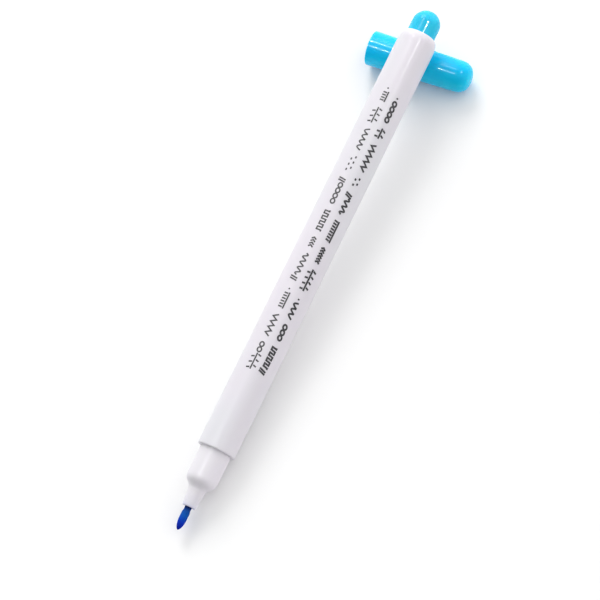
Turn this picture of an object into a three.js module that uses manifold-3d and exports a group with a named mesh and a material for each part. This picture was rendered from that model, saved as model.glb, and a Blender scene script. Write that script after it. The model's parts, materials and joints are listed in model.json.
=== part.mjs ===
// A water-erasable fabric marking pen with its cap off. The pen lies with its tail across the cap.
// Millimetres, +Z up. The nib points to -X, and the cap lies under the tail, across the pen.
// Every piece is turned about its own axis. A section point is [station, radius]: the pen's stations
// start at the nib's tip, and the cap's stations start at its mouth.

import * as THREE from "three";
import { mergeVertices } from "three/addons/utils/BufferGeometryUtils.js";
import Module from "manifold-3d";

const wasm = await Module();
wasm.setup();

// Facets around the turned pieces.
const FACETS = 48;
const NIB_FACETS = 24;

// Clearances.
const FIT_GAP = 0.05; // radial, between pieces that press or slide into each other
const SEAT_GAP = 0.1; // along the axis, between faces that meet

// Barrel.
const BARREL_LENGTH = 112.85;
const BARREL_RADIUS = 4.75;
const BARREL_WALL = 1.15;
const BARREL_EDGE = 0.25; // rounding of the front edge
const STEP_WIDTH = 0.8; // the ring face that the cap's rim comes up to
const TAIL_ROUND_LENGTH = 2.4;
const TAIL_LIP = 0.12; // flat left around the rear opening
const RIB_COUNT = 4;
const RIB_HEIGHT = 0.15;
const RIB_WIDTH = 0.6;
const RIB_END_CLEARANCE = 1.5;

// Nib.
const NIB_OUT = 5.9;
const NIB_RADIUS = 0.98;
const NIB_CROWN_LENGTH = 2.6;
const NIB_CROWN_POWER = 1.75; // below 2 is more pointed than an ellipse
const NIB_BODY_LENGTH = 4.3; // from the tip to where the neck starts
const NIB_NECK_LENGTH = 0.8;
const NIB_NECK_DEPTH = 0.14;
const NIB_BURIED = 5; // length inside the ink reservoir
const NIB_TAIL_LENGTH = 2;
const NIB_TAIL_RADIUS = 0.35;

// Front section, which holds the nib and plugs into the barrel.
const NOSE_LENGTH = 4.6;
const NOSE_WALL = 0.77;
const NOSE_EDGE = 0.22;
const SHOULDER_LENGTH = 2.6;
const SHOULDER_HEIGHT = 1.68; // from the nose's base out to the grip
const SHOULDER_ROUND = 0.8;
const GRIP_LENGTH = 7.35; // the stretch that the cap slides over
const GRIP_DRAFT = THREE.MathUtils.degToRad(0.3);
const SPIGOT_LENGTH = 8;
const SPIGOT_CHAMFER = 0.4;
const SECTION_WALL = 1.3;
const NOSE_BORE_LENGTH = 5.4;
const VENT_COUNT = 3;
const VENT_WIDTH = 0.3;
const VENT_DEPTH = 0.25;

// Ink reservoir and the film around it.
const FILM_THICKNESS = 0.12;

// End plug.
const PLUG_STRAIGHT = 3.15; // straight length outside the barrel, before the dome
const PLUG_SPIGOT = 11;
const PLUG_WALL = 0.8;
const PLUG_CHAMFER = 0.3;
const BEAD_HEIGHT = 0.1;
const BEAD_LENGTH = 0.6;
const BEAD_DEPTH = 3; // from the barrel's rear opening to the middle of the snap bead
const SLOT_WIDTH = 1.6;
const SLOT_DEPTH = 2.2;

// Cap.
const CAP_CLEARANCE = 0.05;
const CAP_MOUTH_WALL = 0.4; // thinned where the bore fits the grip
const CAP_WALL = 0.5;
const CAP_ROOF = 0.7;
const CAP_DRAFT = THREE.MathUtils.degToRad(1);
const CAP_BEYOND_NIB = 6.15; // from the nib's tip to the end of the dome, with the cap on
const CAP_RIM = 0.1;
const DOME_LENGTH = 3.9;
const DOME_POWER = 2.3; // above 2 is squarer than an ellipse
const BORE_LEAD = 0.8; // slope from the fitted stretch of the bore to the rest of it

// Inner cap, which seals around the nose.
const LINER_LEAD = 0.6; // from the shoulder to the inner cap's mouth, with the cap on
const LINER_WALL = 0.6;
const LINER_NIB_ROOM = 1;
const LINER_RING = 0.9;
const LINER_RING_FROM_END = 3.2;

// How the two lie on the table.
const TAIL_OVERHANG = 3; // from the crossing to the barrel's rear end
const CAP_UNDER = 12.9; // from the cap's mouth to the crossing
const CAP_YAW = THREE.MathUtils.degToRad(3.2);
const REST_GAP = 0.12;

// Radii that follow from the walls and fits.
const BORE_RADIUS = BARREL_RADIUS - BARREL_WALL;
const SOCKET_RADIUS = BARREL_RADIUS - STEP_WIDTH;
const GRIP_RADIUS = SOCKET_RADIUS - FIT_GAP;
const CAVITY_RADIUS = GRIP_RADIUS - SECTION_WALL;
const NECK_RADIUS = NIB_RADIUS - NIB_NECK_DEPTH;
const NOSE_BORE_RADIUS = NECK_RADIUS + FIT_GAP;
const NOSE_FACE_RADIUS = NOSE_BORE_RADIUS + NOSE_WALL;
const NOSE_BASE_RADIUS = GRIP_RADIUS - SHOULDER_HEIGHT;
const FILM_RADIUS = BORE_RADIUS - RIB_HEIGHT - FIT_GAP;
const RESERVOIR_RADIUS = FILM_RADIUS - FILM_THICKNESS - FIT_GAP;
const PLUG_RADIUS = BORE_RADIUS - FIT_GAP;
const GROOVE_RADIUS = BORE_RADIUS + BEAD_HEIGHT;
const CAP_RADIUS = GRIP_RADIUS + CAP_CLEARANCE + CAP_MOUTH_WALL;
const LINER_BORE_RADIUS = Math.max(NOSE_FACE_RADIUS, NOSE_BASE_RADIUS) + FIT_GAP;
const LINER_RADIUS = LINER_BORE_RADIUS + LINER_WALL;

// Stations along the pen.
const NOSE_BASE = NIB_OUT + NOSE_LENGTH;
const SHOULDER_END = NOSE_BASE + SHOULDER_LENGTH;
const BARREL_FRONT = SHOULDER_END + GRIP_LENGTH;
const BARREL_REAR = BARREL_FRONT + BARREL_LENGTH;
const SPIGOT_END = BARREL_FRONT + SPIGOT_LENGTH;
const SOCKET_FLOOR = SPIGOT_END + SEAT_GAP;
const RESERVOIR_FRONT = SOCKET_FLOOR + SEAT_GAP;
const PLUG_FRONT = BARREL_REAR - PLUG_SPIGOT;
const RESERVOIR_REAR = PLUG_FRONT - SEAT_GAP;
const NIB_END = RESERVOIR_FRONT + NIB_BURIED;
const BEAD_STATION = BARREL_REAR - BEAD_DEPTH;

// Stations along the cap.
const CAP_LENGTH = BARREL_FRONT + CAP_BEYOND_NIB;
const DOME_START = CAP_LENGTH - DOME_LENGTH;
const LINER_MOUTH = GRIP_LENGTH + SHOULDER_LENGTH + LINER_LEAD;
const LINER_FLOOR = BARREL_FRONT + LINER_NIB_ROOM;
const LINER_END = LINER_FLOOR + LINER_WALL;

const CURVE_STEPS = 5;
const DOME_STEPS = 9;

/** The grip's radius at a distance in front of the barrel's step. */
function gripRadius(distance) {
  return GRIP_RADIUS - Math.tan(GRIP_DRAFT) * distance;
}

/** The cap's outer radius at a station, up to its dome. */
function capRadius(station) {
  return CAP_RADIUS - Math.tan(CAP_DRAFT) * station;
}

/** The radius of the cap's bore at a station behind the stretch that fits the grip. */
function capBoreRadius(station) {
  return capRadius(station) - CAP_WALL;
}

/** A quarter of a superellipse that leaves `from` along the axis and reaches `to` along the radius. */
function turnInward(from, to, steps = CURVE_STEPS, power = 2) {
  const points = [];
  for (let i = 0; i <= steps; i++) {
    const angle = (i / steps) * (Math.PI / 2);
    const along = Math.sin(angle) ** (2 / power);
    const across = i === steps ? 0 : Math.cos(angle) ** (2 / power);
    points.push([from[0] + (to[0] - from[0]) * along, to[1] + (from[1] - to[1]) * across]);
  }
  return points;
}

/** The same curve from the other end: it leaves `from` along the radius and reaches `to` along the axis. */
function turnOutward(from, to, steps = CURVE_STEPS, power = 2) {
  return turnInward(to, from, steps, power).reverse();
}

/** A closed geometry with only positions, its shared vertices merged and its flat triangles dropped. */
function weld(geometry) {
  geometry.deleteAttribute("normal");
  geometry.deleteAttribute("uv");
  const merged = mergeVertices(geometry, 1e-4);
  const index = merged.index.array;
  const kept = [];
  for (let i = 0; i < index.length; i += 3) {
    const [a, b, c] = [index[i], index[i + 1], index[i + 2]];
    if (a !== b && b !== c && c !== a) kept.push(a, b, c);
  }
  merged.setIndex(kept);
  return merged;
}

/** A section turned about +X. It runs forward outside and back inside, or from the axis to the axis. */
function turned(section, facets = FACETS) {
  const outline = section.map(([station, radius]) => new THREE.Vector2(radius, station));
  const geometry = new THREE.LatheGeometry(outline, facets);
  geometry.rotateZ(-Math.PI / 2);
  return weld(geometry);
}

function toSolid(geometry) {
  const vertProperties = Float32Array.from(geometry.getAttribute("position").array);
  const triVerts = Uint32Array.from(geometry.index.array);
  return new wasm.Manifold(new wasm.Mesh({ numProp: 3, vertProperties, triVerts }));
}

function toGeometry(solid) {
  const mesh = solid.getMesh();
  const geometry = new THREE.BufferGeometry();
  geometry.setAttribute("position", new THREE.BufferAttribute(mesh.vertProperties, 3));
  geometry.setIndex(new THREE.BufferAttribute(mesh.triVerts, 1));
  return geometry;
}

/** A bar along +X from one station to another, its middle lifted off the axis and turned about it. */
function bar(start, end, width, height, lift, angle) {
  const geometry = new THREE.BoxGeometry(end - start, width, height);
  geometry.translate((start + end) / 2, 0, lift);
  geometry.rotateX(angle);
  return toSolid(weld(geometry));
}

/** Bars evenly spaced around the axis, half a space away from its top. */
function barsAround(count, makeBar) {
  return Array.from({ length: count }, (_, i) => makeBar((2 * Math.PI * (i + 0.5)) / count));
}

function material(color, roughness) {
  return new THREE.MeshStandardMaterial({ color, roughness, metalness: 0 });
}

function piece(name, geometry, finish) {
  geometry.computeVertexNormals();
  const mesh = new THREE.Mesh(geometry, finish);
  mesh.name = name;
  return mesh;
}

/** The barrel: a tube with a socket for the front section, ribs for the reservoir and a snap groove. */
function barrel() {
  const tailOpening = BORE_RADIUS + TAIL_LIP;
  const tube = turned([
    ...turnOutward(
      [BARREL_FRONT, BARREL_RADIUS - BARREL_EDGE],
      [BARREL_FRONT + BARREL_EDGE, BARREL_RADIUS],
      3,
    ),
    ...turnInward([BARREL_REAR - TAIL_ROUND_LENGTH, BARREL_RADIUS], [BARREL_REAR, tailOpening]),
    [BARREL_REAR, BORE_RADIUS],
    [BEAD_STATION + BEAD_LENGTH, BORE_RADIUS],
    [BEAD_STATION + BEAD_LENGTH / 2, GROOVE_RADIUS],
    [BEAD_STATION - BEAD_LENGTH / 2, GROOVE_RADIUS],
    [BEAD_STATION - BEAD_LENGTH, BORE_RADIUS],
    [SOCKET_FLOOR, BORE_RADIUS],
    [SOCKET_FLOOR, SOCKET_RADIUS],
    [BARREL_FRONT, SOCKET_RADIUS],
    [BARREL_FRONT, BARREL_RADIUS - BARREL_EDGE],
  ]);
  const ribStart = RESERVOIR_FRONT + RIB_END_CLEARANCE;
  const ribEnd = RESERVOIR_REAR - RIB_END_CLEARANCE;
  const ribThickness = RIB_HEIGHT + BARREL_WALL / 2;
  const ribLift = BORE_RADIUS - RIB_HEIGHT + ribThickness / 2;
  const ribs = barsAround(RIB_COUNT, (angle) =>
    bar(ribStart, ribEnd, RIB_WIDTH, ribThickness, ribLift, angle),
  );
  const ribbed = ribs.reduce((solid, rib) => solid.add(rib), toSolid(tube));
  return piece("barrel", toGeometry(ribbed), material(0xe9e7ef, 0.28));
}

/** The front section: nose, shoulder and grip outside, a spigot in the barrel, and vents by the nib. */
function frontSection() {
  const noseFlare = NOSE_BASE_RADIUS - NOSE_FACE_RADIUS;
  const noseEdgeRadius = NOSE_FACE_RADIUS + (noseFlare * NOSE_EDGE) / NOSE_LENGTH;
  const shoulderTop = gripRadius(GRIP_LENGTH + SHOULDER_ROUND / 2);
  const cavityFront = NIB_OUT + NOSE_BORE_LENGTH;
  const cavitySlope = CAVITY_RADIUS - NOSE_BORE_RADIUS;
  const body = turned([
    ...turnOutward(
      [NIB_OUT, NOSE_FACE_RADIUS - NOSE_EDGE],
      [NIB_OUT + NOSE_EDGE, noseEdgeRadius],
      3,
    ),
    [NOSE_BASE, NOSE_BASE_RADIUS],
    ...turnOutward(
      [SHOULDER_END - SHOULDER_ROUND * 1.5, shoulderTop - SHOULDER_ROUND],
      [SHOULDER_END + SHOULDER_ROUND / 2, shoulderTop],
    ),
    [BARREL_FRONT, GRIP_RADIUS],
    [SPIGOT_END - SPIGOT_CHAMFER, GRIP_RADIUS],
    [SPIGOT_END, GRIP_RADIUS - SPIGOT_CHAMFER],
    [SPIGOT_END, CAVITY_RADIUS],
    [cavityFront + cavitySlope, CAVITY_RADIUS],
    [cavityFront, NOSE_BORE_RADIUS],
    [NIB_OUT, NOSE_BORE_RADIUS],
    [NIB_OUT, NOSE_FACE_RADIUS - NOSE_EDGE],
  ]);
  const ventThickness = VENT_DEPTH + NOSE_BORE_RADIUS / 2;
  const ventLift = NOSE_BORE_RADIUS + VENT_DEPTH - ventThickness / 2;
  const vents = barsAround(VENT_COUNT, (angle) =>
    bar(NIB_OUT - 1, cavityFront + cavitySlope, VENT_WIDTH, ventThickness, ventLift, angle),
  );
  const vented = vents.reduce((solid, vent) => solid.subtract(vent), toSolid(body));
  return piece("front_section", toGeometry(vented), material(0xe9e7ef, 0.28));
}

/** The fibre nib: a bullet point, a neck, and a shaft that runs back into the reservoir. */
function nib() {
  const body = turned(
    [
      ...turnOutward([0, 0], [NIB_CROWN_LENGTH, NIB_RADIUS], DOME_STEPS, NIB_CROWN_POWER),
      [NIB_BODY_LENGTH, NIB_RADIUS],
      [NIB_BODY_LENGTH + NIB_NECK_LENGTH, NECK_RADIUS],
      [NIB_END - NIB_TAIL_LENGTH, NECK_RADIUS],
      [NIB_END, NIB_TAIL_RADIUS],
      [NIB_END, 0],
    ],
    NIB_FACETS,
  );
  return piece("nib", body, material(0x0a3f9a, 0.8));
}

/** The fibre reservoir, a bundle with a hole that the nib's shaft is pushed into. */
function inkReservoir() {
  const holeEnd = NIB_END + SEAT_GAP;
  const body = turned([
    [holeEnd, 0],
    [holeEnd, NIB_TAIL_RADIUS + FIT_GAP],
    [NIB_END - NIB_TAIL_LENGTH, NECK_RADIUS + FIT_GAP],
    [RESERVOIR_FRONT, NECK_RADIUS + FIT_GAP],
    [RESERVOIR_FRONT, RESERVOIR_RADIUS],
    [RESERVOIR_REAR, RESERVOIR_RADIUS],
    [RESERVOIR_REAR, 0],
  ]);
  return piece("ink_reservoir", body, material(0x2257b8, 0.95));
}

/** The clear film sleeve that keeps the reservoir's fibres together. */
function reservoirFilm() {
  const body = turned([
    [RESERVOIR_FRONT, FILM_RADIUS],
    [RESERVOIR_REAR, FILM_RADIUS],
    [RESERVOIR_REAR, FILM_RADIUS - FILM_THICKNESS],
    [RESERVOIR_FRONT, FILM_RADIUS - FILM_THICKNESS],
    [RESERVOIR_FRONT, FILM_RADIUS],
  ]);
  return piece("reservoir_film", body, material(0xdfe6ee, 0.2));
}

/** The end plug: a dome outside, and a hollow spigot with a snap bead and slotted end inside. */
function endPlug() {
  const domeStart = BARREL_REAR + PLUG_STRAIGHT;
  const domeEnd = domeStart + PLUG_RADIUS;
  const hollowRadius = PLUG_RADIUS - PLUG_WALL;
  const beadRadius = GROOVE_RADIUS - FIT_GAP;
  const body = turned([
    ...turnInward([domeStart, hollowRadius], [domeEnd - PLUG_WALL, 0]).reverse(),
    [PLUG_FRONT, hollowRadius],
    [PLUG_FRONT, PLUG_RADIUS - PLUG_CHAMFER],
    [PLUG_FRONT + PLUG_CHAMFER, PLUG_RADIUS],
    [BEAD_STATION - BEAD_LENGTH, PLUG_RADIUS],
    [BEAD_STATION - BEAD_LENGTH / 2, beadRadius],
    [BEAD_STATION + BEAD_LENGTH / 2, beadRadius],
    [BEAD_STATION + BEAD_LENGTH, PLUG_RADIUS],
    ...turnInward([domeStart, PLUG_RADIUS], [domeEnd, 0], DOME_STEPS),
  ]);
  const slots = [0, Math.PI / 2].map((angle) =>
    bar(PLUG_FRONT - 1, PLUG_FRONT + SLOT_DEPTH, SLOT_WIDTH, BARREL_RADIUS * 2, 0, angle),
  );
  const slotted = slots.reduce((solid, slot) => solid.subtract(slot), toSolid(body));
  return piece("end_plug", toGeometry(slotted), material(0x10b6e8, 0.25));
}

/** The cap's shell: a drafted tube with a fitted mouth and a dome. */
function cap() {
  const fittedEnd = GRIP_LENGTH;
  const boreStart = fittedEnd + BORE_LEAD;
  const mouthBore = GRIP_RADIUS + CAP_CLEARANCE;
  const roof = [CAP_LENGTH - CAP_ROOF, 0];
  const body = turned([
    ...turnInward([DOME_START, capBoreRadius(DOME_START)], roof, DOME_STEPS, DOME_POWER).reverse(),
    [boreStart, capBoreRadius(boreStart)],
    [fittedEnd, gripRadius(fittedEnd) + CAP_CLEARANCE],
    [CAP_RIM, mouthBore],
    [0, mouthBore + CAP_RIM],
    [0, CAP_RADIUS - CAP_RIM],
    [CAP_RIM, capRadius(CAP_RIM)],
    ...turnInward([DOME_START, capRadius(DOME_START)], [CAP_LENGTH, 0], DOME_STEPS, DOME_POWER),
  ]);
  return piece("cap", body, material(0x10b6e8, 0.25));
}

/** The inner cap: a thin cup that seals on the nose, held in the cap's bore by two rings. */
function innerCap() {
  const ringStart = LINER_END - LINER_RING_FROM_END;
  const ringEnd = ringStart + LINER_RING;
  const mouthRingEnd = LINER_MOUTH + LINER_RING;
  const fitted = (station) => capBoreRadius(station) - FIT_GAP;
  const body = turned([
    [LINER_FLOOR, 0],
    [LINER_FLOOR, LINER_BORE_RADIUS],
    [LINER_MOUTH, LINER_BORE_RADIUS],
    [LINER_MOUTH, fitted(LINER_MOUTH)],
    [mouthRingEnd, fitted(mouthRingEnd)],
    [mouthRingEnd, LINER_RADIUS],
    [ringStart, LINER_RADIUS],
    [ringStart, fitted(ringStart)],
    [ringEnd, fitted(ringEnd)],
    [ringEnd, LINER_RADIUS],
    [LINER_END - LINER_WALL, LINER_RADIUS],
    [LINER_END, LINER_RADIUS - LINER_WALL],
    [LINER_END, 0],
  ]);
  return piece("inner_cap", body, material(0xf0efe9, 0.45));
}

/** Lifts or lowers a group so that its lowest point is on the table. */
function setDown(group) {
  group.position.z -= new THREE.Box3().setFromObject(group, true).min.z;
}

/** The pen, tilted by the cap under its tail. */
function layPen() {
  const pen = new THREE.Group();
  pen.add(barrel(), frontSection(), nib(), inkReservoir(), reservoirFilm(), endPlug());
  const reach = BARREL_LENGTH - TAIL_OVERHANG;
  const tilt = 2 * Math.atan(capRadius(CAP_UNDER) / reach) + REST_GAP / reach;
  const crossing = BARREL_REAR - TAIL_OVERHANG;
  pen.rotation.y = -tilt;
  pen.position.x = -crossing * Math.cos(tilt);
  setDown(pen);
  return pen;
}

/** The cap, lying on its tapered side with its mouth to +Y and the point under the tail at x = y = 0. */
function layCap() {
  const closed = new THREE.Group();
  closed.add(cap(), innerCap());
  closed.rotation.order = "ZYX";
  closed.rotation.y = CAP_DRAFT;
  closed.rotation.z = CAP_YAW - Math.PI / 2;
  closed.position.x = -Math.cos(closed.rotation.z) * CAP_UNDER;
  closed.position.y = -Math.sin(closed.rotation.z) * CAP_UNDER;
  setDown(closed);
  return closed;
}

/** The whole object, standing on z = 0 with the middle of its footprint at the origin. */
function fabricMarkingPen() {
  const object = new THREE.Group();
  object.add(layPen(), layCap());
  const middle = new THREE.Box3().setFromObject(object, true).getCenter(new THREE.Vector3());
  object.position.set(-middle.x, -middle.y, 0);
  return object;
}

export default fabricMarkingPen();
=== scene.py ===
import json
import math

import bmesh
import bpy
from mathutils import Matrix, Vector, noise


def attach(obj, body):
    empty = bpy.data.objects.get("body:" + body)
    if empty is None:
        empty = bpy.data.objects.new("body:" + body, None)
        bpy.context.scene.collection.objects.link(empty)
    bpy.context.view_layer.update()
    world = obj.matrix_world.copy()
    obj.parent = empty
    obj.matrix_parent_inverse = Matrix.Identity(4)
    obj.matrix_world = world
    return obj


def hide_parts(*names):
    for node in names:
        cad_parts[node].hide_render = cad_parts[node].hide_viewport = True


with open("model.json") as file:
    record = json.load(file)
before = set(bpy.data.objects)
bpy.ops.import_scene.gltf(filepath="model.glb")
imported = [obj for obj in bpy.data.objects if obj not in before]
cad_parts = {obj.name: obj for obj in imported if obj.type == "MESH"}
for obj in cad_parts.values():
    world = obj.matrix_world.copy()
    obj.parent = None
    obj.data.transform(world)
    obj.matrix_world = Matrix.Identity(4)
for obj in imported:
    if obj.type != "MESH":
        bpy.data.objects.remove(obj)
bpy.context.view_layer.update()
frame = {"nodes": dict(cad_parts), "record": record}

# A fabric marking pen with its cap off, its tail resting across the cap. Outlines are in millimetres, as
# (station, radius) or (station, radius, fillet), turned about the axis of the CAD pieces they replace.

MM = 0.001
SEGMENTS = 160
NIB_SEGMENTS = 120
FILLET_STEPS = 6
CURVE_STEPS = 20
DOME_STEPS = 40
TINY = 1e-6
BRACE = 0.12  # distance from the end of a straight stretch to the ring that keeps its shading straight
SHARP_ANGLE = math.radians(38)
WORLD_UP = Vector((0, 0, 1))

# Barrel.
BARREL_EDGE = 0.35
BARREL_INNER_EDGE = 0.08
TAIL_ROUND_LENGTH = 2.4
TAIL_LIP = 0.12
RIM_ROLL = 0.06

# Front section.
NOSE_LENGTH = 4.6
NOSE_EDGE = 0.2
NOSE_BORE_EDGE = 0.05

# Nib.
NIB_OUT = 5.9
NIB_CROWN_LENGTH = 2.6
NIB_CROWN_POWER = 1.75
NIB_BODY_LENGTH = 4.3
NIB_NECK_LENGTH = 0.8
NIB_RING_SPACING = 0.09
FIBRE_HEIGHT = 0.02
FIBRE_ROUND = 5.2  # fibres per millimetre, around the nib
FIBRE_LONG = 0.45  # fibres per millimetre, along it
FIBRE_FINER = 2.3  # how much finer the second set of fibres is
FIBRE_TIP_FADE = 0.3
FIBRE_END_CLEARANCE = 0.15
FIBRE_END_FADE = 0.4

# End plug and cap.
GATE_RADIUS = 0.55
GATE_DEPTH = 0.06
CAP_RIM_ROLL = 0.1
DOME_LENGTH = 3.9
DOME_POWER = 2.6
CAP_ROOF = 0.7

# Printed marks: stations and sizes.
PRINT_START = 40.8
PRINT_PITCH = 1.475
PRINT_HEIGHT = 0.02
PRINT_STAGGER = 0.005  # how much higher every second mark is, where linked marks cross
PRINT_BURIED = 0.03
PRINT_STEP = 0.2
PRINT_TALL = 1.86

# Camera.
CAMERA_AZIMUTH = math.radians(-40.2579)
CAMERA_ELEVATION = math.radians(66.3367)
CAMERA_ROLL = math.radians(-24.6242)
CAMERA_DISTANCE = 0.62
CAMERA_TARGET = Vector((-0.0075779, -0.0009228, 0.005))
CAMERA_LENS = 156.05
CAMERA_SENSOR = 36


# ---------------------------------------------------------------- frame

def node_points(node):
    return [vertex.co.copy() for vertex in frame["nodes"][node].data.vertices]


class Axis:
    """The line that CAD pieces are turned about: its own x runs along it and its own z points up."""

    def __init__(self, direction, round_node, first_node):
        self.along = direction.normalized()
        self.side = WORLD_UP.cross(self.along).normalized()
        self.up = self.along.cross(self.side)
        points = node_points(round_node)
        across = [point.dot(self.side) for point in points]
        height = [point.dot(self.up) for point in points]
        start = min(point.dot(self.along) for point in node_points(first_node))
        self.origin = (
            self.along * start
            + self.side * (min(across) + max(across)) / 2
            + self.up * (min(height) + max(height)) / 2
        )
        self.matrix = Matrix.Translation(self.origin) @ Matrix(
            (self.along, self.side, self.up)
        ).transposed().to_4x4()

    def span(self, node):
        """The first and last station of a CAD node, in millimetres."""
        stations = [(point - self.origin).dot(self.along) / MM for point in node_points(node)]
        return min(stations), max(stations)

    def radius(self, node, first=None, last=None):
        """The largest radius of a CAD node, or of its stretch between two stations, in millimetres."""
        largest = 0
        for point in node_points(node):
            offset = point - self.origin
            station = offset.dot(self.along) / MM
            if first is not None and not first <= station <= last:
                continue
            largest = max(largest, (offset - self.along * offset.dot(self.along)).length / MM)
        return largest


def mount_direction(name):
    mounts = {mount["name"]: mount for mount in frame["record"]["mounts"]}
    return -Vector(mounts[name]["axis"])


pen = Axis(mount_direction("cap_seat"), "barrel", "nib")
cap_axis = Axis(mount_direction("cap_rim"), "cap", "cap")


# ---------------------------------------------------------------- outlines

def quarter(start, end, power=2, steps=CURVE_STEPS):
    """A quarter of a superellipse that leaves start along the axis and reaches end along the radius."""
    points = []
    for step in range(steps + 1):
        angle = step / steps * math.pi / 2
        along = math.sin(angle) ** (2 / power)
        across = 0 if step == steps else math.cos(angle) ** (2 / power)
        points.append((start[0] + (end[0] - start[0]) * along, end[1] + (start[1] - end[1]) * across))
    return points


def bezier(start, leave, reach, end, steps=CURVE_STEPS):
    """A cubic curve from start to end."""
    points = []
    for step in range(steps + 1):
        t = step / steps
        shares = ((1 - t) ** 3, 3 * t * (1 - t) ** 2, 3 * t * t * (1 - t), t ** 3)
        points.append(tuple(
            sum(share * point[i] for share, point in zip(shares, (start, leave, reach, end)))
            for i in (0, 1)
        ))
    return points


def round_corner(before, corner, after, size):
    """The arc of a fillet at a corner of an outline."""
    corner = Vector(corner)
    back = (Vector(before) - corner).normalized()
    onward = (Vector(after) - corner).normalized()
    half = back.angle(onward) / 2
    centre = corner + (back + onward).normalized() * size / math.sin(half)
    first = corner + back * size / math.tan(half) - centre
    last = corner + onward * size / math.tan(half) - centre
    turn = math.pi - 2 * half
    points = []
    for step in range(FILLET_STEPS + 1):
        angle = step / FILLET_STEPS * turn
        point = centre + (first * math.sin(turn - angle) + last * math.sin(angle)) / math.sin(turn)
        points.append(tuple(point))
    return points


def brace(points, closed):
    """Adds a point near each end of a long straight stretch."""
    braced = []
    for i, here in enumerate(points):
        braced.append(here)
        if i == len(points) - 1 and not closed:
            break
        there = points[(i + 1) % len(points)]
        run = Vector(there) - Vector(here)
        if run.length > 4 * BRACE:
            step = run.normalized() * BRACE
            braced.append(tuple(Vector(here) + step))
            braced.append(tuple(Vector(there) - step))
    return braced


def outline(corners, closed=True):
    """Points from corners given as (station, radius) or (station, radius, fillet)."""
    points = []
    for i, corner in enumerate(corners):
        if len(corner) == 2:
            points.append(corner)
            continue
        before = corners[i - 1][:2]
        after = corners[(i + 1) % len(corners)][:2]
        points += round_corner(before, corner[:2], after, corner[2])
    return brace(points, closed)


def gated(dome):
    """Sinks the middle of a dome, where the moulding gate was cut off."""
    sunk = []
    for station, radius in dome:
        depth = GATE_DEPTH * min(1, max(0, (GATE_RADIUS - radius) / (GATE_RADIUS / 3)))
        sunk.append((station - depth, radius))
    return sunk


# ---------------------------------------------------------------- pieces

def finish_mesh(name, bm, matrix, material):
    bmesh.ops.recalc_face_normals(bm, faces=bm.faces)
    mesh = bpy.data.meshes.new(name)
    bm.to_mesh(mesh)
    bm.free()
    mesh.shade_smooth()
    mesh.set_sharp_from_angle(angle=SHARP_ANGLE)
    mesh.materials.append(material)
    piece = bpy.data.objects.new(name, mesh)
    piece.matrix_world = matrix
    bpy.context.scene.collection.objects.link(piece)
    return piece


def stand_for(piece, body, slot, *nodes):
    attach(piece, body)
    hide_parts(*nodes)


def turned(name, axis, points, material, segments=SEGMENTS, relief=None):
    """A piece turned from an outline. Ends on the axis close it, and any other outline closes on itself."""
    bm = bmesh.new()
    rings = []
    for station, radius in points:
        if radius < TINY:
            rings.append([bm.verts.new((station * MM, 0, 0))])
            continue
        ring = []
        for i in range(segments):
            angle = 2 * math.pi * i / segments
            size = radius + (relief(station, radius, angle) if relief else 0)
            ring.append(bm.verts.new(
                (station * MM, size * math.sin(angle) * MM, size * math.cos(angle) * MM)
            ))
        rings.append(ring)
    pairs = list(zip(rings, rings[1:]))
    if len(rings[0]) > 1:
        pairs.append((rings[-1], rings[0]))
    for ring, following in pairs:
        for i in range(segments):
            corners = [
                ring[i % len(ring)],
                ring[(i + 1) % len(ring)],
                following[(i + 1) % len(following)],
                following[i % len(following)],
            ]
            bm.faces.new(list(dict.fromkeys(corners)))
    return finish_mesh(name, bm, axis.matrix, material)


BARREL_FRONT, BARREL_REAR = pen.span("barrel")
BARREL_RADIUS = pen.radius("barrel")
NOSE_FRONT, SPIGOT_END = pen.span("front_section")
GRIP_RADIUS = pen.radius("front_section")
PLUG_FRONT, PLUG_TIP = pen.span("end_plug")
PLUG_RADIUS = pen.radius("end_plug", BARREL_REAR, PLUG_TIP)
NIB_END = pen.span("nib")[1]
NIB_RADIUS = pen.radius("nib")
RESERVOIR_FRONT, RESERVOIR_REAR = pen.span("ink_reservoir")
RESERVOIR_RADIUS = pen.radius("ink_reservoir")
FILM_RADIUS = pen.radius("reservoir_film")
CAP_TIP = cap_axis.span("cap")[1]
CAP_RADIUS = cap_axis.radius("cap")
DOME_START = CAP_TIP - DOME_LENGTH
DOME_RADIUS = cap_axis.radius("cap", DOME_START - 0.1, CAP_TIP)
LINER_MOUTH, LINER_END = cap_axis.span("inner_cap")

FIT_GAP = 0.05
SEAT_GAP = 0.1
SOCKET_RADIUS = GRIP_RADIUS + FIT_GAP
BORE_RADIUS = PLUG_RADIUS + FIT_GAP
SOCKET_FLOOR = SPIGOT_END + SEAT_GAP

BEAD_DEPTH = 3
BEAD_LENGTH = 0.6
BEAD_HEIGHT = 0.1
BEAD_STATION = BARREL_REAR - BEAD_DEPTH
RIB_COUNT = 4
RIB_HEIGHT = 0.15
RIB_WIDTH = 0.6
RIB_END_CLEARANCE = 1.5
RIB_SLOPE = 0.2


def rib_relief(station, radius, angle):
    """Four ribs along the barrel's bore, which hold the reservoir off its wall."""
    if radius > BORE_RADIUS + 0.01:
        return 0
    inside = min(station - RESERVOIR_FRONT, RESERVOIR_REAR - station) - RIB_END_CLEARANCE
    if inside < 0:
        return 0
    spacing = 2 * math.pi / RIB_COUNT
    off_middle = abs((angle % spacing) - spacing / 2) * BORE_RADIUS
    rise = min(1, max(0, (RIB_WIDTH / 2 + RIB_SLOPE - off_middle) / RIB_SLOPE))
    return -RIB_HEIGHT * rise * min(1, inside / RIB_SLOPE)


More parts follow.
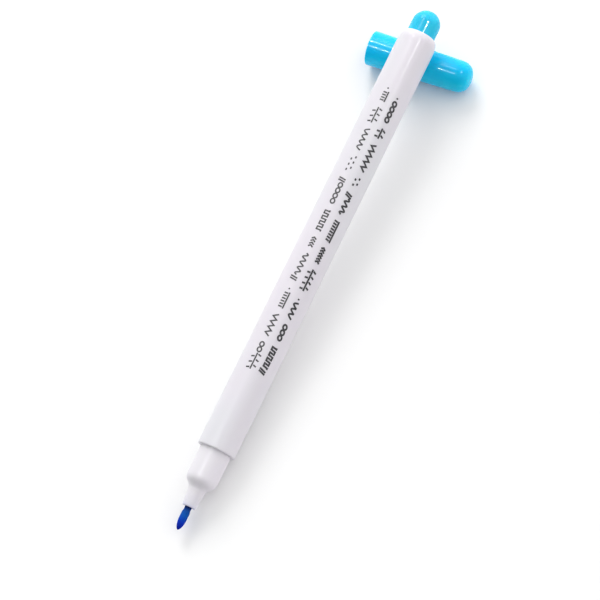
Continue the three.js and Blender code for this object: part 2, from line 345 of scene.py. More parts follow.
def barrel(material):
    rib_first = RESERVOIR_FRONT + RIB_END_CLEARANCE
    rib_last = RESERVOIR_REAR - RIB_END_CLEARANCE
    points = outline([
        (BARREL_FRONT, BARREL_RADIUS, BARREL_EDGE),
        *quarter(
            (BARREL_REAR - TAIL_ROUND_LENGTH, BARREL_RADIUS),
            (BARREL_REAR, BORE_RADIUS + TAIL_LIP),
        ),
        (BARREL_REAR, BORE_RADIUS, RIM_ROLL),
        (BEAD_STATION + BEAD_LENGTH, BORE_RADIUS),
        (BEAD_STATION + BEAD_LENGTH / 2, BORE_RADIUS + BEAD_HEIGHT),
        (BEAD_STATION - BEAD_LENGTH / 2, BORE_RADIUS + BEAD_HEIGHT),
        (BEAD_STATION - BEAD_LENGTH, BORE_RADIUS),
        (rib_last, BORE_RADIUS),
        (rib_last - RIB_SLOPE, BORE_RADIUS),
        (rib_first + RIB_SLOPE, BORE_RADIUS),
        (rib_first, BORE_RADIUS),
        (SOCKET_FLOOR, BORE_RADIUS),
        (SOCKET_FLOOR, SOCKET_RADIUS),
        (BARREL_FRONT, SOCKET_RADIUS, BARREL_INNER_EDGE),
    ])
    piece = turned("barrel_shell", pen, points, material, relief=rib_relief)
    stand_for(piece, "pen", "white_plastic", "barrel")


NOSE_FACE_RADIUS = 1.66
NOSE_BASE = NOSE_FRONT + NOSE_LENGTH
NOSE_BASE_RADIUS = 2.22
NOSE_BORE_RADIUS = 0.89
NOSE_BORE_LENGTH = 5.4
GRIP_FALL = 0.037  # how much the grip narrows towards the shoulder
NOSE_FOOT = (NOSE_BASE - 0.12, NOSE_BASE_RADIUS - 0.015)
SHOULDER_TOP = (NOSE_BASE + 3.0, GRIP_RADIUS - GRIP_FALL)
SHOULDER_START = (NOSE_BASE + 0.15, NOSE_BASE_RADIUS + 0.09)
SHOULDER_LEAVE = (NOSE_BASE + 1.15, NOSE_BASE_RADIUS + 0.62)
SHOULDER_REACH = (NOSE_BASE + 1.1, SHOULDER_TOP[1] - 0.02)
SHOULDER_STEPS = 28
CAVITY_RADIUS = 2.6
SPIGOT_CHAMFER = 0.4
VENT_COUNT = 3
VENT_WIDTH = 0.3
VENT_DEPTH = 0.25
VENT_SLOPE = 0.06
VENT_END_CLEARANCE = 1


def vent_relief(station, radius, angle):
    """Three air grooves along the nose's bore, beside the nib."""
    deep = NOSE_BORE_RADIUS + VENT_DEPTH - radius
    if deep < 0 or station > SPIGOT_END - VENT_END_CLEARANCE:
        return 0
    spacing = 2 * math.pi / VENT_COUNT
    off_middle = abs((angle % spacing) - spacing / 2) * NOSE_BORE_RADIUS
    return deep * min(1, max(0, (VENT_WIDTH / 2 + VENT_SLOPE - off_middle) / VENT_SLOPE))


def front_section(material):
    cavity_front = NOSE_FRONT + NOSE_BORE_LENGTH
    shoulder = bezier(SHOULDER_START, SHOULDER_LEAVE, SHOULDER_REACH, SHOULDER_TOP, SHOULDER_STEPS)
    points = outline([
        (NOSE_FRONT, NOSE_FACE_RADIUS, NOSE_EDGE),
        NOSE_FOOT,
        *shoulder,
        (BARREL_FRONT, GRIP_RADIUS),
        (SPIGOT_END - SPIGOT_CHAMFER, GRIP_RADIUS),
        (SPIGOT_END, GRIP_RADIUS - SPIGOT_CHAMFER),
        (SPIGOT_END, CAVITY_RADIUS),
        (cavity_front + CAVITY_RADIUS - NOSE_BORE_RADIUS, CAVITY_RADIUS),
        (cavity_front, NOSE_BORE_RADIUS),
        (NOSE_FRONT, NOSE_BORE_RADIUS, NOSE_BORE_EDGE),
    ])
    piece = turned("nose_and_grip", pen, points, material, relief=vent_relief)
    stand_for(piece, "pen", "section_plastic", "front_section")


NECK_RADIUS = 0.84
NECK_LEAVE = 0.35
NECK_REACH = 0.3
NECK_STEPS = 12
CROWN_STEPS = 36
NIB_TAIL_LENGTH = 2
NIB_TAIL_RADIUS = 0.35


def fibre_relief(station, radius, angle):
    """Shallow lengthwise grooves between the nib's bonded fibres, none inside the nose's bore."""
    outside = NIB_OUT - FIBRE_END_CLEARANCE - station
    fade = min(1, radius / FIBRE_TIP_FADE) * min(1, max(0, outside / FIBRE_END_FADE))
    place = Vector((
        station * FIBRE_LONG,
        NIB_RADIUS * FIBRE_ROUND * math.cos(angle),
        NIB_RADIUS * FIBRE_ROUND * math.sin(angle),
    ))
    return -FIBRE_HEIGHT * fade * (0.5 + noise.noise(place) + 0.5 * noise.noise(place * FIBRE_FINER))


def nib(material):
    crown = quarter((0, NIB_RADIUS), (NIB_CROWN_LENGTH, 0), NIB_CROWN_POWER, CROWN_STEPS)
    tip = [(NIB_CROWN_LENGTH - station, radius) for station, radius in reversed(crown)]
    body_steps = round((NIB_BODY_LENGTH - NIB_CROWN_LENGTH) / NIB_RING_SPACING)
    body = [
        (NIB_CROWN_LENGTH + (NIB_BODY_LENGTH - NIB_CROWN_LENGTH) * i / body_steps, NIB_RADIUS)
        for i in range(1, body_steps)
    ]
    neck_end = NIB_BODY_LENGTH + NIB_NECK_LENGTH
    neck = bezier(
        (NIB_BODY_LENGTH, NIB_RADIUS),
        (NIB_BODY_LENGTH + NECK_LEAVE, NIB_RADIUS),
        (neck_end - NECK_REACH, NECK_RADIUS),
        (neck_end, NECK_RADIUS),
        NECK_STEPS,
    )
    rear = [
        (NIB_OUT - NECK_REACH, NECK_RADIUS),
        (NIB_OUT, NECK_RADIUS),
        (NIB_END - NIB_TAIL_LENGTH, NECK_RADIUS),
        (NIB_END, NIB_TAIL_RADIUS),
        (NIB_END, 0),
    ]
    points = brace(tip + body + neck + rear, closed=False)
    piece = turned("fibre_nib", pen, points, material, NIB_SEGMENTS, fibre_relief)
    stand_for(piece, "pen", "inked_nib", "nib")


RESERVOIR_EDGE = 0.3
RESERVOIR_BORE_EDGE = 0.1


def ink_reservoir(material):
    points = outline([
        (NIB_END + SEAT_GAP, 0),
        (NIB_END + SEAT_GAP, NIB_TAIL_RADIUS + FIT_GAP),
        (NIB_END - NIB_TAIL_LENGTH, NECK_RADIUS + FIT_GAP),
        (RESERVOIR_FRONT, NECK_RADIUS + FIT_GAP, RESERVOIR_BORE_EDGE),
        (RESERVOIR_FRONT, RESERVOIR_RADIUS, RESERVOIR_EDGE),
        (RESERVOIR_REAR, RESERVOIR_RADIUS, RESERVOIR_EDGE),
        (RESERVOIR_REAR, 0),
    ], closed=False)
    piece = turned("fibre_reservoir", pen, points, material)
    stand_for(piece, "pen", "reservoir_fibre", "ink_reservoir")


FILM_THICKNESS = 0.12
FILM_EDGE = 0.04


def reservoir_film(material):
    points = outline([
        (RESERVOIR_FRONT, FILM_RADIUS, FILM_EDGE),
        (RESERVOIR_REAR, FILM_RADIUS, FILM_EDGE),
        (RESERVOIR_REAR, FILM_RADIUS - FILM_THICKNESS, FILM_EDGE),
        (RESERVOIR_FRONT, FILM_RADIUS - FILM_THICKNESS, FILM_EDGE),
    ])
    piece = turned("film_sleeve", pen, points, material)
    stand_for(piece, "pen", "clear_film", "reservoir_film")


PLUG_WALL = 0.8
PLUG_CHAMFER = 0.3
SLOT_WIDTH = 1.6
SLOT_DEPTH = 2.2
SLOT_OVERSHOOT = 1


def end_plug(material):
    hollow = PLUG_RADIUS - PLUG_WALL
    dome_start = PLUG_TIP - PLUG_RADIUS
    bead_radius = BORE_RADIUS + BEAD_HEIGHT - FIT_GAP
    inside = quarter((dome_start, hollow), (PLUG_TIP - PLUG_WALL, 0))
    outside = quarter((dome_start, PLUG_RADIUS), (PLUG_TIP, 0), steps=DOME_STEPS)
    points = outline([
        *reversed(inside),
        (PLUG_FRONT, hollow),
        (PLUG_FRONT, PLUG_RADIUS - PLUG_CHAMFER),
        (PLUG_FRONT + PLUG_CHAMFER, PLUG_RADIUS),
        (BEAD_STATION - BEAD_LENGTH, PLUG_RADIUS),
        (BEAD_STATION - BEAD_LENGTH / 2, bead_radius),
        (BEAD_STATION + BEAD_LENGTH / 2, bead_radius),
        (BEAD_STATION + BEAD_LENGTH, PLUG_RADIUS),
        *gated(outside),
    ], closed=False)
    piece = turned("domed_plug", pen, points, material)
    cut_slots(piece)
    stand_for(piece, "pen", "plug_plastic", "end_plug")


def cut_slots(piece):
    """Cuts the cross of slots that lets the plug's inner end flex."""
    for turn in (0, math.pi / 2):
        bm = bmesh.new()
        middle = PLUG_FRONT + (SLOT_DEPTH - SLOT_OVERSHOOT) / 2
        length = SLOT_DEPTH + SLOT_OVERSHOOT
        place = Matrix.Translation((middle * MM, 0, 0))
        size = Matrix.Diagonal((length * MM, SLOT_WIDTH * MM, 4 * PLUG_RADIUS * MM, 1))
        bmesh.ops.create_cube(bm, size=1, matrix=Matrix.Rotation(turn, 4, "X") @ place @ size)
        cutter = finish_mesh("slot_cutter", bm, piece.matrix_world.copy(), piece.data.materials[0])
        cut = piece.modifiers.new("slot", "BOOLEAN")
        cut.operation = "DIFFERENCE"
        cut.solver = "EXACT"
        cut.object = cutter
        bpy.context.view_layer.update()
        evaluated = piece.evaluated_get(bpy.context.evaluated_depsgraph_get())
        mesh = bpy.data.meshes.new_from_object(evaluated)
        piece.modifiers.remove(cut)
        piece.data = mesh
        bpy.data.objects.remove(cutter)


CAP_BORE_LEAD = 0.8
CAP_WALL = 0.5
GRIP_LENGTH = 7.35
CAP_CLEARANCE = 0.05


def cap_outer_radius(station):
    return CAP_RADIUS + (DOME_RADIUS - CAP_RADIUS) * station / DOME_START


def cap_shell(material):
    bore_start = GRIP_LENGTH + CAP_BORE_LEAD
    mouth_bore = GRIP_RADIUS + CAP_CLEARANCE
    inside = quarter((DOME_START, DOME_RADIUS - CAP_WALL), (CAP_TIP - CAP_ROOF, 0), DOME_POWER)
    outside = quarter((DOME_START, DOME_RADIUS), (CAP_TIP, 0), DOME_POWER, DOME_STEPS)
    points = outline([
        *reversed(inside),
        (bore_start, cap_outer_radius(bore_start) - CAP_WALL),
        (GRIP_LENGTH, mouth_bore - GRIP_FALL),
        (0, mouth_bore, CAP_RIM_ROLL),
        (0, CAP_RADIUS, CAP_RIM_ROLL),
        *gated(outside),
    ], closed=False)
    piece = turned("cap_shell", cap_axis, points, material)
    stand_for(piece, "cap", "cap_plastic", "cap")


LINER_WALL = 0.6
LINER_BORE_RADIUS = 2.27
LINER_RING = 0.9
LINER_RING_FROM_END = 3.2
LINER_EDGE = 0.12
LINER_MOUTH_EDGE = 0.15
LINER_FLOOR_ROUND = 0.35
LINER_END_ROUND = 0.5


def cap_bore_fit(station):
    """The radius of what seats in the cap's tapered bore."""
    return cap_outer_radius(station) - CAP_WALL - FIT_GAP


def inner_cap(material):
    ring_start = LINER_END - LINER_RING_FROM_END
    floor = LINER_END - LINER_WALL
    radius = LINER_BORE_RADIUS + LINER_WALL
    mouth_ring_end = LINER_MOUTH + LINER_RING
    ring_end = ring_start + LINER_RING
    points = outline([
        (floor, 0),
        (floor, LINER_BORE_RADIUS, LINER_FLOOR_ROUND),
        (LINER_MOUTH, LINER_BORE_RADIUS, LINER_MOUTH_EDGE),
        (LINER_MOUTH, cap_bore_fit(LINER_MOUTH), LINER_EDGE),
        (mouth_ring_end, cap_bore_fit(mouth_ring_end), LINER_EDGE),
        (mouth_ring_end, radius, LINER_EDGE),
        (ring_start, radius, LINER_EDGE),
        (ring_start, cap_bore_fit(ring_start), LINER_EDGE),
        (ring_end, cap_bore_fit(ring_end), LINER_EDGE),
        (ring_end, radius, LINER_EDGE),
        (LINER_END, radius, LINER_END_ROUND),
        (LINER_END, 0),
    ], closed=False)
    piece = turned("liner_cup", cap_axis, points, material)
    stand_for(piece, "cap", "natural_plastic", "inner_cap")


# ---------------------------------------------------------------- printed marks

# Each run is a stitch and how many cells it fills. A cell is one pitch long. Its points are (along, across):
# along runs from 0 to 1, and across is 0 at the row's foot and 1 a height of PRINT_TALL further round. A
# stitch's line joins up over the whole run, and its marks repeat in each cell.
CHAIN_LOOP = [
    (0.5 - 0.42 * math.cos(i / 8 * math.pi), 0.34 + 0.27 * math.sin(i / 8 * math.pi)) for i in range(17)
]
STITCHES = {
    "zigzag": {"line": [(0, 0.02), (0.5, 0.68), (1, 0.02)]},
    "wave": {"line": [(i / 12, 0.34 + 0.3 * math.sin(i / 6 * math.pi)) for i in range(13)]},
    "scallop": {"line": [(i / 12, 0.05 + 0.6 * math.sin(i / 12 * math.pi)) for i in range(13)]},
    "key": {"line": [(0, 0.04), (0.25, 0.04), (0.25, 0.66), (0.75, 0.66), (0.75, 0.04), (1, 0.04)]},
    "blanket": {
        "line": [(0, 0.02), (1, 0.02)],
        "marks": [[(0.25, 0.18), (0.25, 0.7)], [(0.75, 0.18), (0.75, 0.7)]],
    },
    "feather": {
        "line": [(0, 0.34), (1, 0.34)],
        "marks": [[(0.3, 0.52), (0.12, 0.96)], [(0.8, 0.16), (0.62, -0.26)]],
    },
    "chain": {"marks": [CHAIN_LOOP]},
    "chevron": {
        "marks": [[(0.12, 0.66), (0.44, 0.34), (0.12, 0.02)], [(0.6, 0.66), (0.92, 0.34), (0.6, 0.02)]],
    },
    "seed": {"marks": [[(0.06, 0.6), (0.46, 0.6)], [(0.54, 0.1), (0.94, 0.1)]]},
    "satin": {"marks": [[(0.1, 0.0), (0.3, 0.96)], [(0.55, 0.0), (0.75, 0.96)]]},
    "knot": {"marks": [[(0.36, 0.34), (0.64, 0.34)]]},
    "gap": {},
}
RUN_MARGIN = 0.06

# A row's foot is an angle in degrees around the pen, from its top towards its side. Its lean slants it.
ROWS = [
    {
        "name": "stitch_row_fine",
        "foot": -8.5,
        "width": 0.36,
        "lean": 0.0,
        "runs": [
            ("feather", 3), ("chain", 2), ("gap", 1), ("zigzag", 4), ("gap", 1),
            ("blanket", 3), ("knot", 1), ("gap", 1), ("satin", 1), ("wave", 4), ("gap", 1),
            ("chevron", 2), ("gap", 1), ("key", 4), ("gap", 1), ("chain", 4), ("satin", 1), ("gap", 1),
            ("seed", 3), ("gap", 1), ("scallop", 4), ("gap", 1), ("feather", 3), ("gap", 1),
            ("blanket", 2), ("knot", 1),
        ],
    },
    {
        "name": "stitch_row_bold",
        "foot": -47.0,
        "width": 0.46,
        "lean": 0.2,
        "runs": [
            ("satin", 1), ("key", 4), ("gap", 1), ("chain", 3), ("gap", 1),
            ("scallop", 3), ("knot", 1), ("gap", 1), ("feather", 4), ("gap", 1), ("chevron", 3), ("gap", 1),
            ("blanket", 4), ("gap", 1), ("wave", 3), ("satin", 1), ("gap", 1), ("seed", 2), ("gap", 1),
            ("zigzag", 5), ("gap", 1), ("feather", 2), ("gap", 1), ("chain", 4), ("knot", 1),
        ],
    },
]


def resampled(stroke):
    """The stroke with points close enough together to follow the barrel's curve."""
    points = [Vector(stroke[0])]
    for start, end in zip(stroke, stroke[1:]):
        run = Vector(end) - Vector(start)
        steps = max(1, math.ceil(run.length / PRINT_STEP))
        points += [Vector(start) + run * i / steps for i in range(1, steps + 1)]
    return points


def stroke_sides(points, width):
    """The left and right edges of a stroke, with mitred corners, and whether the stroke is a loop."""
    looped = (points[0] - points[-1]).length < TINY
    if looped:
        points = points[:-1]
    sides = []
    for i, point in enumerate(points):
        before = points[i - 1] if looped or i > 0 else point
        after = points[(i + 1) % len(points)] if looped or i < len(points) - 1 else point
        back = (point - before).normalized()
        onward = (after - point).normalized()
        direction = (back + onward).normalized()
        normal = Vector((-direction.y, direction.x))
        straight = onward if onward.length > 0 else back
        reach = width / 2 / max(0.5, abs(normal.dot(Vector((-straight.y, straight.x)))))
        sides.append((point + normal * reach, point - normal * reach))
    return sides, looped


def add_stroke(bm, stroke, width, height):
    """A thin raised line of ink on the barrel. Its points are (station, distance around) in millimetres."""
    sides, looped = stroke_sides(resampled(stroke), width)
    rings = []
    for left, right in sides:
        ring = []
        for (station, around), lift in (
            (left, height), (right, height), (right, -PRINT_BURIED), (left, -PRINT_BURIED),
        ):
            angle = around / BARREL_RADIUS
            size = BARREL_RADIUS + lift
            ring.append(bm.verts.new(
                (station * MM, size * math.sin(angle) * MM, size * math.cos(angle) * MM)
            ))
        rings.append(ring)
    pairs = list(zip(rings, rings[1:]))
    if looped:
        pairs.append((rings[-1], rings[0]))
    else:
        bm.faces.new(rings[0])
        bm.faces.new(reversed(rings[-1]))
    for ring, following in pairs:
        for i in range(4):
            bm.faces.new((ring[i], following[i], following[(i + 1) % 4], ring[(i + 1) % 4]))


def run_strokes(stitch, count):
    """The strokes of a run of cells, its joined line first."""
    shape = STITCHES[stitch]
    strokes = []
    if "line" in shape:
        line = [(i + along, across) for i in range(count) for along, across in shape["line"]]
        strokes.append(list(dict.fromkeys(line)))
    strokes += [
        [(i + along, across) for along, across in mark]
        for i in range(count) for mark in shape.get("marks", [])
    ]
    shrink = (count - 2 * RUN_MARGIN) / count
    return [[(RUN_MARGIN + along * shrink, across) for along, across in stroke] for stroke in strokes]


def print_row(row, material):
    """A row of stitch marks, from the nib's end to the tail."""
    bm = bmesh.new()
    foot = math.radians(row["foot"]) * BARREL_RADIUS
    lean = row["lean"]
    cell = 0
    for stitch, count in row["runs"]:
        for i, stroke in enumerate(run_strokes(stitch, count)):
            placed = [
                (PRINT_START + (cell + along + lean * across) * PRINT_PITCH, foot + across * PRINT_TALL)
                for along, across in stroke
            ]
            add_stroke(bm, placed, row["width"], PRINT_HEIGHT + i % 2 * PRINT_STAGGER)
        cell += count
    piece = finish_mesh(row["name"], bm, pen.matrix, material)
    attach(piece, "pen")


# ---------------------------------------------------------------- materials

class Finish:
    """A node material. Its coordinates are the piece's own: x along its axis, in metres."""

    def __init__(self, name, **settings):
        self.material = bpy.data.materials.new(name)
        self.material.use_nodes = True
        self.tree = self.material.node_tree
        self.shader = self.tree.nodes["Principled BSDF"]
        self.coordinates = self.tree.nodes.new("ShaderNodeTexCoord").outputs["Object"]
        for socket, value in settings.items():
            self.shader.inputs[socket.replace("_", " ")].default_value = value

    def link(self, output, socket):
        self.tree.links.new(output, self.shader.inputs[socket])

    def noise(self, scale, stretch=(1, 1, 1), detail=3, roughness=0.5):
        """Noise with `scale` features per metre; a smaller stretch number draws them out on that axis."""
        mapping = self.tree.nodes.new("ShaderNodeMapping")
        mapping.inputs["Scale"].default_value = stretch
        texture = self.tree.nodes.new("ShaderNodeTexNoise")
        texture.inputs["Scale"].default_value = scale
        texture.inputs["Detail"].default_value = detail
        texture.inputs["Roughness"].default_value = roughness
        self.tree.links.new(self.coordinates, mapping.inputs["Vector"])
        self.tree.links.new(mapping.outputs["Vector"], texture.inputs["Vector"])
        return texture.outputs["Fac"]

    def station(self, first, last):
        """How far along the axis, from 0 at the first station to 1 at the last, in millimetres."""
        split = self.tree.nodes.new("ShaderNodeSeparateXYZ")
        spread = self.tree.nodes.new("ShaderNodeMapRange")
        spread.inputs["From Min"].default_value = first * MM
        spread.inputs["From Max"].default_value = last * MM
        self.tree.links.new(self.coordinates, split.inputs["Vector"])
        self.tree.links.new(split.outputs["X"], spread.inputs["Value"])
        return spread.outputs["Result"]

    def ramp(self, factor, *stops):
        """A ramp of (position, colour) stops; a number in place of a colour is a grey."""
        ramp = self.tree.nodes.new("ShaderNodeValToRGB")
        elements = ramp.color_ramp.elements
        while len(elements) < len(stops):
            elements.new(1)
        for element, (position, value) in zip(elements, stops):
            colour = value if isinstance(value, tuple) else (value, value, value)
            element.position = position
            element.color = (*colour, 1)
        self.tree.links.new(factor, ramp.inputs["Fac"])
        return ramp.outputs["Color"]

    def mix(self, factor, first, second, blend="MIX"):
        mixed = self.tree.nodes.new("ShaderNodeMix")
        mixed.data_type = "RGBA"
        mixed.blend_type = blend
        inputs = [socket for socket in mixed.inputs if socket.enabled]
        for socket, value in zip(inputs, (factor, first, second)):
            if isinstance(value, bpy.types.NodeSocket):
                self.tree.links.new(value, socket)
            else:
                socket.default_value = value
        return next(socket for socket in mixed.outputs if socket.enabled)

    def bump(self, height, distance, strength=1.0, onto=None):
        bump = self.tree.nodes.new("ShaderNodeBump")
        bump.inputs["Distance"].default_value = distance
        bump.inputs["Strength"].default_value = strength
        self.tree.links.new(height, bump.inputs["Height"])
        if onto is not None:
            self.tree.links.new(onto, bump.inputs["Normal"])
        return bump.outputs["Normal"]


BARREL_COOL = (0.705, 0.705, 0.738)
BARREL_LILAC = (0.73, 0.697, 0.75)
BARREL_ROUGH = 0.4
SECTION_COOL = (0.765, 0.75, 0.785)
SECTION_LILAC = (0.78, 0.743, 0.8)
SECTION_ROUGH = 0.42
PLUG_LIGHT = (0.028, 0.61, 0.83)
PLUG_DEEP = (0.016, 0.50, 0.76)
CAP_LIGHT = (0.004, 0.60, 0.95)
CAP_DEEP = (0.0, 0.50, 0.93)
INK_BLOOM = 3.5
INK_TINT = (0.42, 0.47, 0.82, 1)


def moulded_white(name, cool, lilac, rough, inked_end=None):
    """Opaque white polypropylene: faint cool and lilac patches, fine moulding grain and hairline scuffs.

    Ink that has crept out of the nose tints the plastic near the inked end.
    """
    finish = Finish(
        name, IOR=1.49, Subsurface_Weight=0.25, Subsurface_Scale=0.0009, Subsurface_Radius=(1.0, 0.9, 1.1),
        Specular_IOR_Level=0.35, Coat_Weight=0.08, Coat_Roughness=0.16,
    )
    patches = finish.noise(70, stretch=(0.35, 1, 1), detail=2)
    colour = finish.ramp(patches, (0.36, cool), (0.62, lilac))
    if inked_end is not None:
        away = finish.station(inked_end, inked_end + INK_BLOOM)
        bloom = finish.ramp(away, (0.0, 0.3), (0.25, 0.08), (1.0, 0.0))
        colour = finish.mix(bloom, colour, INK_TINT)
    finish.link(colour, "Base Color")
    wear = finish.noise(420, stretch=(0.25, 1, 1), detail=4)
    finish.link(finish.ramp(wear, (0.3, rough), (0.7, rough + 0.12)), "Roughness")
    grain = finish.bump(finish.noise(2600, detail=2), 0.000004, 0.5)
    ripples = finish.bump(finish.noise(160, stretch=(0.3, 1, 1), detail=1), 0.00003, 0.35, onto=grain)
    scuffs = finish.ramp(finish.noise(900, stretch=(0.04, 1, 1), detail=5), (0.62, 0.0), (0.72, 1.0))
    finish.link(finish.bump(scuffs, 0.000004, 0.4, onto=ripples), "Normal")
    return finish.material


def moulded_blue(name, light, deep):
    """Translucent light blue polypropylene with a high gloss and slow flow marks along the moulding."""
    finish = Finish(
        name, IOR=1.49, Subsurface_Weight=0.5, Subsurface_Scale=0.0014, Subsurface_Radius=(0.25, 0.8, 1.0),
        Specular_IOR_Level=0.13, Coat_Weight=0.13, Coat_Roughness=0.05,
    )
    flow = finish.noise(190, stretch=(0.3, 1, 1), detail=4, roughness=0.6)
    finish.link(finish.ramp(flow, (0.32, deep), (0.68, light)), "Base Color")
    wear = finish.noise(600, stretch=(0.4, 1, 1), detail=4)
    finish.link(finish.ramp(wear, (0.3, 0.16), (0.75, 0.3)), "Roughness")
    ripples = finish.bump(finish.noise(210, stretch=(0.35, 1, 1), detail=2), 0.00005, 0.4)
    finish.link(finish.bump(finish.noise(2400, detail=2), 0.000003, 0.4, onto=ripples), "Normal")
    return finish.material


def inked_fibre():
    """The nib: bonded fibres along its length, wet with ink. Its colour along it holds painted light: a
    painted highlight, palest on the body, and painted shade, darkest where it goes into the nose.
    """
    finish = Finish("inked_fibre", IOR=1.42, Specular_IOR_Level=0.1)
    # Ink blue along the nib, tip to nose, with painted light in it: a painted highlight on the body and
    # painted shade at the nose.
    ink_with_painted_light = finish.ramp(
        finish.station(0, NIB_OUT),
        (0.0, (0.001, 0.009, 0.32)),
        (0.3, (0.0, 0.028, 0.45)),
        (0.62, (0.001, 0.085, 0.42)),
        (0.84, (0.002, 0.06, 0.32)),
        (1.0, (0.001, 0.006, 0.09)),
    )
    fibres = finish.noise(5200, stretch=(0.06, 1, 1), detail=3, roughness=0.65)
    streaks = finish.ramp(fibres, (0.3, 0.62), (0.7, 1.25))
    finish.link(finish.mix(0.8, ink_with_painted_light, streaks, "MULTIPLY"), "Base Color")
    finish.link(finish.ramp(fibres, (0.3, 0.55), (0.7, 0.8)), "Roughness")
    finish.link(finish.bump(fibres, 0.00002, 0.8), "Normal")
    return finish.material


def reservoir_fibre():
    finish = Finish("reservoir_fibre", IOR=1.4, Sheen_Weight=0.2)
    fibres = finish.noise(3800, stretch=(0.03, 1, 1), detail=3, roughness=0.6)
    soak = finish.noise(60, detail=2)
    colour = finish.ramp(soak, (0.35, (0.02, 0.09, 0.42)), (0.65, (0.04, 0.16, 0.55)))
    streaks = finish.ramp(fibres, (0.3, 0.5), (0.7, 1.3))
    finish.link(finish.mix(0.7, colour, streaks, "MULTIPLY"), "Base Color")
    finish.link(finish.ramp(fibres, (0.3, 0.8), (0.7, 0.95)), "Roughness")
    finish.link(finish.bump(fibres, 0.00004, 0.8), "Normal")
    return finish.material


def clear_film():
    """Clear polyester film with faint lengthwise wrinkles."""
    finish = Finish("clear_film", IOR=1.55, Transmission_Weight=0.9)
    wrinkles = finish.noise(500, stretch=(0.08, 1, 1), detail=3)
    finish.link(finish.ramp(wrinkles, (0.3, (0.90, 0.94, 0.97)), (0.7, (0.97, 0.98, 0.99))), "Base Color")
    finish.link(finish.ramp(wrinkles, (0.3, 0.06), (0.7, 0.16)), "Roughness")
    finish.link(finish.bump(wrinkles, 0.00003, 0.6), "Normal")
    return finish.material


def natural_plastic():
    """Uncoloured polyethylene, milky and a little waxy."""
    finish = Finish(
        "natural_plastic", IOR=1.51, Subsurface_Weight=0.6, Subsurface_Scale=0.0015,
        Subsurface_Radius=(1.0, 0.95, 0.85),
    )
    cloud = finish.noise(260, detail=3)
    finish.link(finish.ramp(cloud, (0.35, (0.80, 0.79, 0.73)), (0.65, (0.86, 0.86, 0.82))), "Base Color")
    finish.link(finish.ramp(cloud, (0.3, 0.38), (0.7, 0.52)), "Roughness")
    finish.link(finish.bump(finish.noise(2200, detail=2), 0.000006, 0.5), "Normal")
    return finish.material


def printing_ink():
    """Pad-printed black ink, a little thin and grey in places."""
    finish = Finish("printing_ink", IOR=1.5)
    cover = finish.noise(1500, detail=4, roughness=0.7)
    finish.link(
        finish.ramp(cover, (0.34, (0.07, 0.067, 0.075)), (0.5, (0.018, 0.016, 0.021))), "Base Color"
    )
    finish.link(finish.ramp(cover, (0.3, 0.42), (0.7, 0.6)), "Roughness")
    finish.link(finish.bump(finish.noise(6000, detail=2), 0.000004, 0.5), "Normal")
    return finish.material


def floor_paper():
    finish = Finish("floor_paper", Roughness=0.9, Specular_IOR_Level=0.1)
    tone = finish.noise(3, detail=1)
    finish.link(finish.ramp(tone, (0.3, 0.93), (0.7, 0.94)), "Base Color")
    return finish.material


# ---------------------------------------------------------------- studio

KEY_ELEVATION = math.radians(36)
KEY_BEHIND = 0.97
KEY_LEFT = 0.23
KEY_DISTANCE = 1.2
KEY_SIZE = 0.6
KEY_POWER = 6.2
ROOM_STRENGTH = 0.9
ROOM_SLOPE = 0.78
FLOOR_HALF = 3.0
GLINT_DISTANCE = 0.5


def view_axes():
    """The camera's right, up and back directions."""
    flat_right = Vector((math.cos(CAMERA_AZIMUTH), math.sin(CAMERA_AZIMUTH), 0))
    back = Vector((
        math.sin(CAMERA_AZIMUTH) * math.cos(CAMERA_ELEVATION),
        -math.cos(CAMERA_AZIMUTH) * math.cos(CAMERA_ELEVATION),
        math.sin(CAMERA_ELEVATION),
    ))
    flat_up = back.cross(flat_right)
    right = flat_right * math.cos(CAMERA_ROLL) + flat_up * math.sin(CAMERA_ROLL)
    up = flat_up * math.cos(CAMERA_ROLL) - flat_right * math.sin(CAMERA_ROLL)
    return right, up, back


def make_camera():
    right, up, back = view_axes()
    data = bpy.data.cameras.new("camera")
    data.lens = CAMERA_LENS
    data.sensor_width = CAMERA_SENSOR
    camera = bpy.data.objects.new("camera", data)
    turn = Matrix((right, up, back)).transposed().to_4x4()
    camera.matrix_world = Matrix.Translation(CAMERA_TARGET + back * CAMERA_DISTANCE) @ turn
    bpy.context.scene.collection.objects.link(camera)
    bpy.context.scene.camera = camera


def softbox(name, aim, direction, distance, size, power, along=WORLD_UP):
    """An area light at a distance from the point it faces. The second of its sizes lies towards `along`."""
    data = bpy.data.lights.new(name, "AREA")
    data.shape = "RECTANGLE"
    data.size, data.size_y = size
    data.energy = power
    light = bpy.data.objects.new(name, data)
    across = along.cross(direction).normalized()
    turn = Matrix((across, direction.cross(across), direction)).transposed().to_4x4()
    light.matrix_world = Matrix.Translation(aim + direction * distance) @ turn
    bpy.context.scene.collection.objects.link(light)
    return light


def glint(name, axis, station, sideways, size, power):
    """A small light that the camera sees mirrored in a round piece, `sideways` of a radius off its middle."""
    place = axis.origin + axis.along * station * MM
    to_camera = (bpy.context.scene.camera.location - place).normalized()
    facing = (to_camera - axis.along * to_camera.dot(axis.along)).normalized()
    normal = facing * math.sqrt(1 - sideways ** 2) + axis.along.cross(facing) * sideways
    direction = 2 * to_camera.dot(normal) * normal - to_camera
    light = softbox(name, place, direction, GLINT_DISTANCE, size, power, axis.along)
    light.visible_diffuse = False


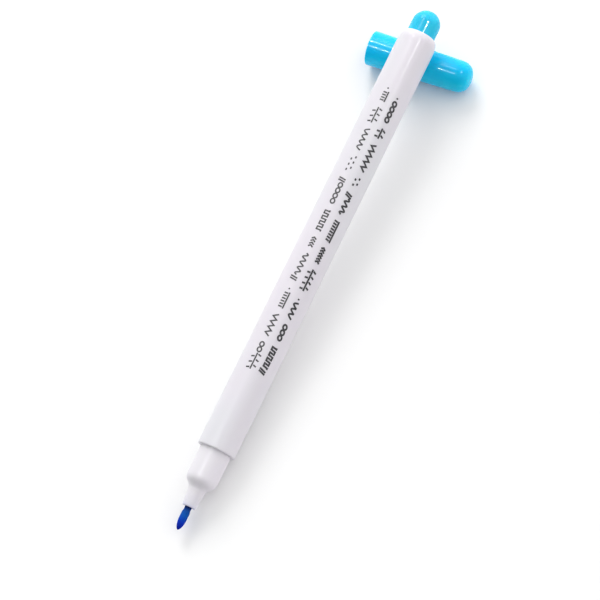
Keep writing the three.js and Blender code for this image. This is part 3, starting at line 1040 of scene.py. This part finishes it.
def room():
    """A pale room, lighter on the tail's side than on the nib's."""
    world = bpy.data.worlds.new("room")
    world.use_nodes = True
    nodes = world.node_tree.nodes
    direction = nodes.new("ShaderNodeTexCoord")
    split = nodes.new("ShaderNodeSeparateXYZ")
    spread = nodes.new("ShaderNodeMapRange")
    spread.inputs["From Min"].default_value = -1
    spread.inputs["To Min"].default_value = ROOM_STRENGTH * (1 - ROOM_SLOPE)
    spread.inputs["To Max"].default_value = ROOM_STRENGTH * (1 + ROOM_SLOPE)
    background = nodes["Background"]
    background.inputs["Color"].default_value = (1.0, 1.0, 1.0, 1)
    world.node_tree.links.new(direction.outputs["Generated"], split.inputs["Vector"])
    world.node_tree.links.new(split.outputs["X"], spread.inputs["Value"])
    world.node_tree.links.new(spread.outputs["Result"], background.inputs["Strength"])
    bpy.context.scene.world = world
    bpy.context.scene.view_settings.view_transform = "Standard"


def floor():
    bm = bmesh.new()
    bmesh.ops.create_grid(bm, x_segments=1, y_segments=1, size=FLOOR_HALF)
    finish_mesh("floor", bm, Matrix.Identity(4), floor_paper())


def key_light():
    """A wide soft light from behind the tail, a little to the camera's left."""
    right, up, _ = view_axes()
    level = up * KEY_BEHIND - right * KEY_LEFT
    level.z = 0
    direction = level.normalized() * math.cos(KEY_ELEVATION) + WORLD_UP * math.sin(KEY_ELEVATION)
    softbox("key", CAMERA_TARGET, direction, KEY_DISTANCE, (KEY_SIZE, KEY_SIZE), KEY_POWER)


room()
floor()
make_camera()
key_light()
glint("cap_glint_high", cap_axis, 4, -0.37, (0.03, 0.05), 0.9)
glint("cap_glint_middle", cap_axis, 14, -0.08, (0.018, 0.1), 0.8)
glint("plug_glint", pen, PLUG_TIP - 4, 0.06, (0.06, 0.02), 0.9)

barrel(moulded_white("barrel_plastic", BARREL_COOL, BARREL_LILAC, BARREL_ROUGH))
front_section(moulded_white("section_plastic", SECTION_COOL, SECTION_LILAC, SECTION_ROUGH, NOSE_FRONT))
nib(inked_fibre())
ink_reservoir(reservoir_fibre())
reservoir_film(clear_film())
end_plug(moulded_blue("plug_plastic", PLUG_LIGHT, PLUG_DEEP))
cap_shell(moulded_blue("cap_plastic", CAP_LIGHT, CAP_DEEP))
inner_cap(natural_plastic())
ink = printing_ink()
for row in ROWS:
    print_row(row, ink)
